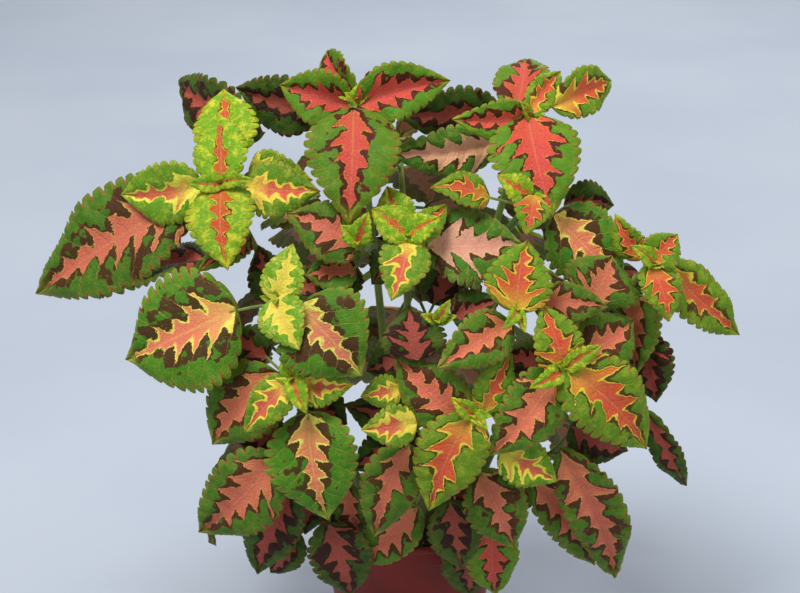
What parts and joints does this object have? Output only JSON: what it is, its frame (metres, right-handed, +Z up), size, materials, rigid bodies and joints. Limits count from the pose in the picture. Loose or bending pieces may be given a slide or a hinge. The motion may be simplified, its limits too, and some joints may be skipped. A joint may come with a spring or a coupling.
{
  "type": "coleus in a pot",
  "caption": "Bushy potted coleus: square leafy stems with opposite, scalloped, red, pink and green leaves, standing in soil in a round nursery pot.",
  "frame": {"origin": "the middle of the pot's flat underside, on the surface it stands on", "axes": "+Z up along the pot's axis, +X to the right and -Y toward the viewer of the picture"},
  "size_m": [0.4009, 0.2587, 0.3803],
  "materials": {
    "pot": "satin",
    "soil": "matte",
    "leaf": "satin"
  },
  "bodies": {
    "root": {"pot": "pot", "soil": "soil", "left_stem": "leaf", "top_stem": "leaf", "right_crown_stem": "leaf", "centre_stem": "leaf", "lower_left_stem": "leaf", "front_stem": "leaf", "right_stem": "leaf", "far_right_stem": "leaf", "lower_right_stem": "leaf", "back_stem": "leaf"}
  },
  "joints": []
}
